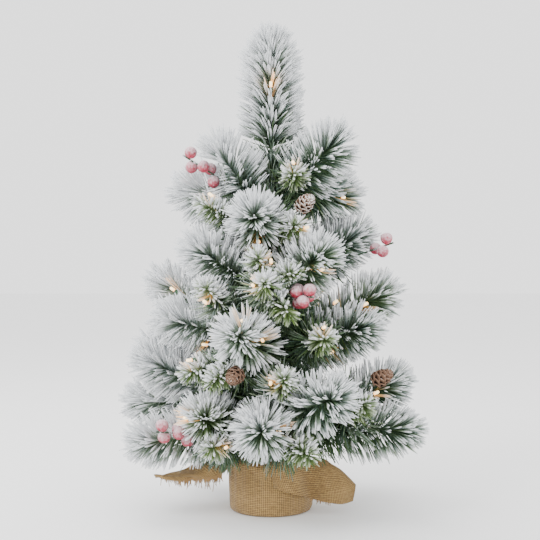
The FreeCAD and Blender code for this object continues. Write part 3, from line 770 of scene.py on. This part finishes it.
# radius and height of each ring
SOCKET = [(0.0001, 0.0), (0.0016, 0.0), (0.0019, 0.0004), (0.0019, 0.0012), (0.0025, 0.0016), (0.0025, 0.0024),
          (0.0022, 0.0027), (0.0022, 0.0034), (0.0025, 0.0037), (0.0025, 0.0044), (0.0022, 0.0047),
          (0.0022, 0.0054), (0.0025, 0.0057), (0.0025, 0.0068), (0.0021, 0.007), (0.0001, 0.007)]
LENS = [(0.0001, 0.0069), (0.0019, 0.0069), (0.002, 0.0072), (0.0019, 0.0078), (0.0019, 0.012),
        (0.00185, 0.013), (0.0016, 0.0138), (0.0011, 0.0142), (0.0009, 0.0141), (0.0001, 0.0136)]
LENS_WIDTH = 0.0023  # the CAD lens is narrower than this and its socket is wider, in radius
LEAD_RADIUS = 0.00045


def nearest_on(lines, place):
    """The nearest point to a place on any of these straight lines."""
    points = []
    for start, end in lines:
        way = end - start
        points.append(start + way * np.clip((place - start) @ way / (way @ way), 0, 1))
    return min(points, key=lambda point: np.linalg.norm(point - place))


def light_branch(name):
    """A ribbed socket and a glowing lens for each lamp, and its two leads to the wire."""
    hinge = HINGES[name]
    wires = [run_of(points, hinge)[:2] for ending in ("_stem", "_tips") for points in solids_of(name + ending)]
    sockets, lenses, leads = [], [], []
    for points in solids_of(name + "_lights"):
        start, end, _ = run_of(points, hinge)
        way = unit(end - start)
        along = (points - start) @ way
        off = np.linalg.norm(points - start - along[:, None] * way, axis=1)
        # the socket is the wider end, and comes first
        if along[off > LENS_WIDTH].mean() > np.linalg.norm(end - start) / 2:
            start, way = end, -way
        sockets.append(turned(SOCKET, 14, start, way))
        lenses.append(turned(LENS, 14, start, way))
        root = nearest_on(wires, start - way * 0.012)
        side, other = square_to(way)
        t = np.linspace(0, 1, 9)[:, None]
        for turn in (-1, 1):
            foot = start + side * 0.0007 * turn
            pull = foot - way * 0.008 + side * 0.0012 * turn
            leads.append(tube_points(bent_line(foot, pull, root + other * 0.0008 * turn, t), LEAD_RADIUS))
    ride(joined(name + "_sockets", sockets + leads, socket_green), name)
    ride(joined(name + "_lenses", lenses, lens_glow), name, [name + "_lights"])


BERRY_RADIUS = 0.0076


def berry_shape(middle, way, random):
    """A lopsided berry with a dimple at its far end, where its dried calyx sits."""
    profile = []
    for angle in np.linspace(0.02, math.pi - 0.02, 14):
        dimple = 1 - 0.16 * math.exp(-((math.pi - angle) / 0.35) ** 2)
        profile.append((BERRY_RADIUS * math.sin(angle) * dimple, -BERRY_RADIUS * math.cos(angle) * dimple))
    points, faces, pairs = turned(profile, 20, middle, way)
    offset = points - middle
    for lump in random.normal(0, 1, (4, 3)):
        offset *= 1 + 0.012 * np.sin((offset / BERRY_RADIUS) @ lump * 2.2)[:, None]
    points = middle + offset
    # the frost map's second value is how far up a corner is
    height = (points[faces.ravel()][:, 2] - middle[2]) / BERRY_RADIUS
    return points, faces, np.stack([pairs[:, 0], 0.5 + 0.5 * height], -1)


def berry_spray(name):
    """A branch's berries, each with a stalk from the wire and five dried sepals."""
    random = seed(name + "berries")
    hinge = HINGES[name]
    wires = [run_of(points, hinge)[:2] for points in solids_of(name + "_stem")]
    berries, stalks = [], []
    for points in solids_of(name + "_berries"):
        middle = (points.max(0) + points.min(0)) / 2
        root = nearest_on(wires, middle)
        way = unit(middle - root)
        berries.append(berry_shape(middle, way, random))
        t = np.linspace(0, 1, 8)[:, None]
        back = unit(hinge - root) * 0.004
        line = bent_line(root + back, root + way * 0.001, middle - way * 0.005, t)
        stalks.append(tube_points(line, np.linspace(0.0009, 0.0006, 8), 6))
        calyx = middle + way * 0.0056
        side, other = square_to(way)
        for turn in ring_turns(5):
            out = math.cos(turn) * side + math.sin(turn) * other
            leaf = [calyx, calyx + way * 0.0007 + out * 0.0006, calyx + way * 0.0012 + out * 0.0013]
            stalks.append(tube_points(leaf, [0.0004, 0.0003, 0.0001], 4))
    ride(joined(name + "_frosted_berries", berries, berry_red, "frost"), name, [name + "_berries"])
    ride(joined(name + "_berry_stalks", stalks, stalk), name)


# ---- pinecones ----
# share of the length, share of the width, and lift of each row of a scale
SCALE_ROWS = [(0.0, 0.35, 0.0), (0.35, 0.75, 0.02), (0.7, 1.0, 0.06), (0.9, 0.95, 0.16), (1.0, 0.6, 0.26)]
# shares of the cone's radius and length along its core
CONE_CORE = [(0, 0), (0.3, 0.04), (0.46, 0.3), (0.42, 0.6), (0.2, 0.86), (0, 0.93)]
CONE_SCALES = 42


def cone_scale(place, out, up, width, length, thickness):
    """One woody scale: narrow at its root, broad and lipped at its end."""
    side = unit(np.cross(up, out))
    points, marks = [], []
    for layer in (1, -1):
        for share, wide, lift in SCALE_ROWS:
            for k in range(5):
                sideways = k / 4 - 0.5
                cup = (1 - 4 * sideways ** 2) * 0.06 * width
                rim = -abs(sideways) * 0.35 * length * (share > 0.8)
                high = lift * length + cup * share + layer * thickness * (1.2 - 0.5 * share) / 2
                point = place + out * (length * share + rim) + side * sideways * wide * width
                points.append(point + up * high)
                marks.append((k / 4, share))
    top, under = np.arange(50).reshape(2, 5, 5)
    sheets = [top, under[:, ::-1], np.stack([top[:, 0], under[:, 0]]), np.stack([top[::-1, 4], under[::-1, 4]]),
              np.stack([top[4], under[4]])]
    faces = np.concatenate([band_faces(sheet, closed=False) for sheet in sheets])
    # every face gets some room on the map, the narrow ones too
    room = np.tile([[0, 0], [0.01, 0], [0.01, 0.02], [0, 0.02]], (len(faces), 1))
    return np.array(points), faces, np.array(marks)[faces.ravel()] + room


def pinecone(name):
    """Scales in a spiral round a core, with more flock on the top one."""
    random = seed(name + "cone")
    snow = 1.0 if name == "top_front" else 0.86
    start, end, radius = run_of(solids_of(name + "_pinecone")[0], HINGES[name])
    way = unit(end - start)
    length = np.linalg.norm(end - start)
    side, other = square_to(way)
    core = [(max(radius * wide, 0.0001), length * share) for wide, share in CONE_CORE]
    points, faces, pairs = turned(core, 12, start, way)
    shapes = [(points, faces, pairs * np.array([1, 0.3]))]
    for n in range(CONE_SCALES):
        share = (n + 0.5) / CONE_SCALES
        turn = n * GOLDEN_TURN + random.normal(0, 0.02)
        girth = math.sin(math.pi * min(1, share * 0.8 + 0.2)) ** 0.6
        out = math.cos(turn) * side + math.sin(turn) * other
        rise = math.radians(6 + 66 * share)
        pointing = unit(out * math.cos(rise) + way * math.sin(rise))
        up = unit(way * math.cos(rise) - out * math.sin(rise))
        place = start + way * length * (0.05 + 0.8 * share) + out * radius * 0.22 * girth
        size = radius * (0.46 + 0.5 * girth)
        reach = size * random.uniform(0.9, 1.0)
        points, faces, pairs = cone_scale(place, pointing, up, size * 1.16, reach, 0.0013)
        shapes.append((points, faces, pairs * np.array([1.0, snow])))
    ride(joined(name + "_cone_scales", shapes, cone_brown), name, [name + "_pinecone"])


for ending, make in (("_lights", light_branch), ("_berries", berry_spray), ("_pinecone", pinecone)):
    for branch in BRANCHES:
        if branch + ending in frame["nodes"]:
            make(branch)


# ---- burlap and twine ----
def along_points(points, share):
    """Places on a smooth line through points, at shares of its steps."""
    points = np.asarray(points, float)
    share = np.atleast_1d(share) * (len(points) - 1)
    first = np.clip(np.floor(share).astype(int), 0, len(points) - 2)
    t = (share - first)[:, None]
    before, after = points[np.maximum(first - 1, 0)], points[np.minimum(first + 2, len(points) - 1)]
    a, b = points[first], points[first + 1]
    return 0.5 * (2 * a + (b - before) * t + (2 * before - 5 * a + 4 * b - after) * t ** 2
                  + (3 * a - before - 3 * b + after) * t ** 3)


def cloth_shape(grid, closed, turn):
    """Points, faces and cloth map of a grid of points. The map is in metres, turned by an angle."""
    rows, columns = grid.shape[:2]
    steps_across = np.linalg.norm(np.diff(grid, axis=1), axis=2).mean(0)
    steps_down = np.linalg.norm(np.diff(grid, axis=0), axis=2).mean(1)
    x = np.concatenate([[0], np.cumsum(steps_across)])
    if closed:
        x = np.append(x, x[-1] + steps_across.mean())
    x, y = np.meshgrid(x, np.concatenate([[0], np.cumsum(steps_down)]))
    c, s = math.cos(turn), math.sin(turn)
    both = np.stack([c * x - s * y, s * x + c * y], -1)
    corners = np.stack([both[:-1, :-1], both[:-1, 1:], both[1:, 1:], both[1:, :-1]], 2)
    index = np.arange(rows * columns).reshape(rows, columns)
    return grid.reshape(-1, 3), band_faces(index, closed), corners.reshape(-1, 2)


# waves round the base: how many, how high, and where they start
FOLDS = [(17, 0.55, 0.3), (23, 0.45, 1.9), (31, 0.3, 4.1), (11, 0.35, 2.2)]
DRIFT = [(2, 0.4, 0.5), (3, 0.4, 2.6), (5, 0.3, 1.1), (9, 0.2, 5.0)]
RIM = 62  # millimetres up to the pot's rim
CUP_COLUMNS = 300
# radius, height and depth of fold up the cloth, in millimetres, from its hem to its ruffle
CUP_ROWS = [(42.0, 0.8, 0), (45, 0.7, 0), (47.6, 0.9, 0), (49.4, 1.7, 0.1), (50.4, 3.2, 0.2), (50.9, 5.5, 0.25)]
CUP_ROWS += [(51.1, 5.5 + 4.1 * n, 0.25 + 0.02 * n) for n in range(1, 13)]
CUP_ROWS += [(51.2, 58.4, 0.6), (50.9, 61, 0.9), (49.6, 63, 1.3), (47, 64.4, 1.7), (43, 65.3, 2.0),
             (38, 66.2, 2.3), (33, 67.2, 2.4), (28, 68.3, 2.2), (23, 69.8, 1.7), (19, 71.3, 1.2),
             (17, 73, 0.9), (16.4, 75.5, 0.8), (16.6, 78, 0.9), (18.4, 80.6, 1.5), (21.6, 82.4, 2.4)]


def ripple(place, waves):
    """An uneven run of folds."""
    return sum(height * np.sin(turns * place + phase) for turns, height, phase in waves)


def cup_of_cloth():
    """Turned in under the pot, up its side, over the rim in gathers, and out above the twine."""
    angle = np.linspace(0, 2 * math.pi, CUP_COLUMNS, endpoint=False)
    # the cloth stands out on the left of the front fold, more towards the rim
    left_of_fold = np.exp(-((angle - math.radians(262)) / math.radians(6)) ** 2)
    rows = []
    for radius, height, fold in CUP_ROWS:
        wave = ripple(angle + 0.02 * math.sin(height), FOLDS) * fold
        slow = ripple(angle + height * 0.012, DRIFT) * (0.9 if 4 < height < RIM else 0.0)
        rise = wave * (1.0 if height > RIM else 0.0)
        beside = left_of_fold * np.clip((height - 22) / 30, 0, 1) * (2.6 if height < RIM else 0.0)
        out = radius + slow + beside + wave * (0.45 if height > RIM else 1.0)
        rows.append(np.stack([out * np.cos(angle), out * np.sin(angle), height + rise], -1) * MM)
    return np.stack(rows)


def flap_of_cloth(lines, columns, rows, waves, lift):
    """A hanging corner through several lines, from the one along its top edge to its lower edge."""
    share = np.linspace(0, 1, columns)
    across_lines = np.stack([along_points(line, share) * MM for line in lines])
    down = np.linspace(0, 1, rows)
    grid = np.stack([along_points(across_lines[:, n], down) for n in range(columns)], 1)
    normal = unit(np.cross(np.gradient(grid, axis=1), np.gradient(grid, axis=0)))
    wave = ripple(share[None, :] * 4 + down[:, None] * 1.6, waves)
    free = np.clip(share[None, :] * 1.6, 0, 1) * lift
    return grid + normal * (wave * free)[..., None] * MM


def bearing(angle, reach, height):
    """A place so many degrees to the right of the front, in millimetres."""
    turn = math.radians(angle)
    return reach * math.sin(turn), -reach * math.cos(turn), height


# the front corner: from the neck, folded across the pot's face, and out to the right
FRONT_CORNER = [
    [bearing(-4, 17, 72), bearing(12, 19, 72), bearing(34, 26, 71), bearing(56, 42, 69), (64, -36, 65.5),
     (84, -41, 57.5), (103, -44, 39)],
    [bearing(-4, 46, 66.6), bearing(12, 46, 66.8), bearing(34, 47, 66.2), bearing(56, 55, 63), (68, -38.5, 56),
     (87, -43, 49), (102.5, -45, 34.5)],
    [bearing(0, 52.0, 59.5), bearing(12, 55, 59.5), bearing(34, 55, 57), bearing(55, 57, 50), (69, -39.5, 42),
     (88, -45, 34.5), (101.5, -45.5, 29)],
    [bearing(2, 52.4, 48), bearing(12, 55.4, 46), bearing(35, 56.4, 41), bearing(55, 58.5, 34), (68, -41, 28),
     (87, -44.5, 24), (100.5, -45, 24)],
    [bearing(4, 52.6, 38), bearing(13, 56.4, 33.5), bearing(36, 58.4, 26), bearing(55, 59, 20), (66, -41, 17),
     (86, -43.5, 15.2), (99.5, -44.5, 19.5)],
]
LEFT_CORNER = [
    [(-30, 10, 67), (-44, 4, 66.5), (-60, -6, 65), (-80, -12, 61), (-104, -14, 53.5), (-128, -12, 46.5),
     (-144, -10, 43)],
    [(-40, -8, 66), (-52, -18, 62), (-66, -26, 56), (-84, -27, 51), (-105, -25, 46.5), (-127, -18, 43),
     (-143.5, -11, 42)],
    [(-46, -24, 63), (-56, -31, 52), (-68, -33, 45), (-85, -28, 42), (-104, -23, 41), (-125, -16, 40.5),
     (-143, -12, 41.6)],
]
BACK_CORNERS = [
    [[bearing(100, 20, 71), bearing(112, 44, 66.5), (74, 46, 48), (90, 72, 34)],
     [bearing(116, 34, 70), bearing(126, 54, 60), (70, 55, 40), (89, 72.5, 32)],
     [bearing(142, 40, 67.5), bearing(146, 56, 52), (60, 62, 30), (88, 73, 29.5)]],
    [[bearing(-196, 20, 71), bearing(-186, 48, 67), (-22, 76, 57), (-52, 98, 43)],
     [bearing(-176, 36, 70), bearing(-170, 56, 62), (-36, 82, 48), (-53, 98, 41.5)],
     [bearing(-148, 40, 67.5), bearing(-144, 57, 52), (-54, 76, 37), (-54, 97, 39)]],
]
# where each corner's lower edge has frayed: from, to, length and number of threads
FRAYED = [(0.22, 0.93, 0.0088, 106), (0.15, 0.9, 0.005, 112), (0.15, 0.9, 0.005, 112), (0.5, 0.72, 0.003, 26)]


def wrap_in_burlap():
    """The whole cloth as one sheet, cup and corners, with its frayed threads."""
    front = flap_of_cloth(FRONT_CORNER, 70, 30, [(2.1, 0.5, 0.4), (5.3, 0.3, 1.0)], 0.8)
    left = flap_of_cloth(LEFT_CORNER, 60, 16, [(2.7, 1.2, 2.0), (6.1, 0.7, 0.2)], 1.6)
    back = [flap_of_cloth(corner, 36, 14, [(2.4, 1.2, 1.2), (5.7, 0.6, 0.0)], 1.6) for corner in BACK_CORNERS]
    shapes = [cloth_shape(cup_of_cloth(), True, 0.0)]
    shapes += [cloth_shape(flap, False, 0.25 + 0.5 * n) for n, flap in enumerate([front, left, *back])]
    cloth = joined("burlap_cloth", shapes, burlap, "cloth")
    thick = cloth.modifiers.new("thickness", "SOLIDIFY")
    thick.thickness = 0.0012
    thick.offset = 0.0
    fringe = fringe_of([left, *back, front])
    ride(cloth, "base", ["burlap_wrap"])
    ride(fringe, "base")


def fringe_of(flaps):
    """Loose threads where the cloth's cut edges have frayed."""
    random = seed("fringe")
    strands = []
    for n, (grid, (low, high, reach, count)) in enumerate(zip(flaps, FRAYED)):
        edge = grid[-1]
        inward = unit(grid[-1] - grid[-3])
        for k in range(count):
            share = low + (high - low) * (k + random.uniform(-0.4, 0.4)) / count
            clump = math.sin(share * 61 + n) > -0.55
            place = along_points(edge, share)[0]
            out = along_points(inward, share)[0] * 0.3 - UP * 0.9
            length = reach * random.uniform(0.45, 1.1) * (1.0 if clump else 0.35)
            sway = random.normal(0, 0.24, 3)
            t = np.linspace(0, 1, 6)[:, None]
            line = place - out * 0.002 * (1 - t) + out * length * t + sway * length * t ** 2
            line[:, 2] = np.maximum(line[:, 2], 0.002)
            strands.append(tube_points(line, np.linspace(0.00068, 0.0003, 6), 4))
    return joined("burlap_fringe", strands, jute)


TWINE_TURNS = 3
TWINE_START = 1.2  # the angle where the winding starts and ends
TWIST = 0.0045  # the length of one twist of its two strands
STRAND = 0.00068


def tie_twine():
    """Two strands twisted together, wound three times round the neck, with short tails behind."""
    low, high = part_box("neck_twine")
    t = np.linspace(0, 1, 360)
    angle = 2 * math.pi * TWINE_TURNS * t + TWINE_START
    reach = (high.x - low.x) / 2 - 0.0012
    rise = low.z + 0.0012 + (high.z - low.z - 0.0024) * t
    wound = np.stack([reach * np.cos(angle), reach * np.sin(angle), rise], -1)
    tail = np.linspace(0, 1, 20)[:, None]
    outward = np.array([math.cos(TWINE_START), math.sin(TWINE_START), 0])
    aside = np.array([1.0, 0, 0]) * tail
    tails = [wound[0] + outward * 0.022 * tail + UP * (0.003 * tail - 0.012 * tail ** 2) + aside * 0.004,
             wound[-1] + outward * 0.02 * tail - UP * (0.014 * tail ** 2) - aside * 0.006]
    strands = []
    for line in [wound] + tails:
        way = unit(np.gradient(line, axis=0))
        side = unit(np.cross(way, UP))
        other = np.cross(side, way)
        run = np.concatenate([[0], np.cumsum(np.linalg.norm(np.diff(line, axis=0), axis=1))])
        for phase in (0, math.pi):
            twist = run / TWIST * 2 * math.pi + phase
            offset = np.cos(twist)[:, None] * side + np.sin(twist)[:, None] * other
            strands.append(tube_points(line + offset * 0.00062, STRAND, 6))
    ride(joined("twisted_twine", strands, jute), "base", ["neck_twine"])


wrap_in_burlap()
tie_twine()


# ---- carried-over CAD pieces ----
# name, dark and light colour, size of patches, roughness, depth of grain and share of metal
PLAIN_FINISHES = {
    "pot_shell": ("pot_plastic", (0.05, 0.038, 0.03), (0.085, 0.066, 0.054), 40.0, 0.5, 0.0001),
    "cement_fill": ("cement", (0.35, 0.34, 0.32), (0.56, 0.55, 0.52), 60.0, 0.9, 0.0006),
    "battery_case": ("case_plastic", (0.018, 0.018, 0.018), (0.034, 0.034, 0.035), 90.0, 0.45, 0.00008),
    "battery_cells": ("cell_jacket", (0.16, 0.18, 0.2), (0.24, 0.26, 0.29), 120.0, 0.3, 0.00003, 0.7),
    "battery_contacts": ("contact_steel", (0.55, 0.55, 0.53), (0.74, 0.74, 0.71), 300.0, 0.3, 0.00003, 1.0),
    "branch_brackets": ("enamelled_steel", (0.018, 0.04, 0.022), (0.04, 0.075, 0.042), 150.0, 0.4, 0.00008, 0.3),
    "trunk_harness": ("lead_insulation", (0.014, 0.05, 0.022), (0.03, 0.08, 0.038), 200.0, 0.45, 0.00004),
}
CAD_FINISHES = {node: plain_finish(*settings) for node, settings in PLAIN_FINISHES.items()}
CAD_FINISHES["battery_door"] = CAD_FINISHES["switch_knob"] = CAD_FINISHES["battery_case"]
for node in ["trunk_tube"] + [branch + "_stem" for branch in BRANCHES]:
    CAD_FINISHES[node] = wire
for node, material in CAD_FINISHES.items():
    for slot in frame["nodes"][node].material_slots:
        slot.material = material


FLOOR_REACH = 6
floor_mesh = bpy.data.meshes.new("floor")
floor_corners = [(FLOOR_REACH * x, FLOOR_REACH * y, 0) for x, y in ((-1, -1), (1, -1), (1, 1), (-1, 1))]
floor_mesh.from_pydata(floor_corners, [], [(0, 1, 2, 3)])
floor = new_object("floor", floor_mesh, floor_finish())

bpy.context.view_layer.update()
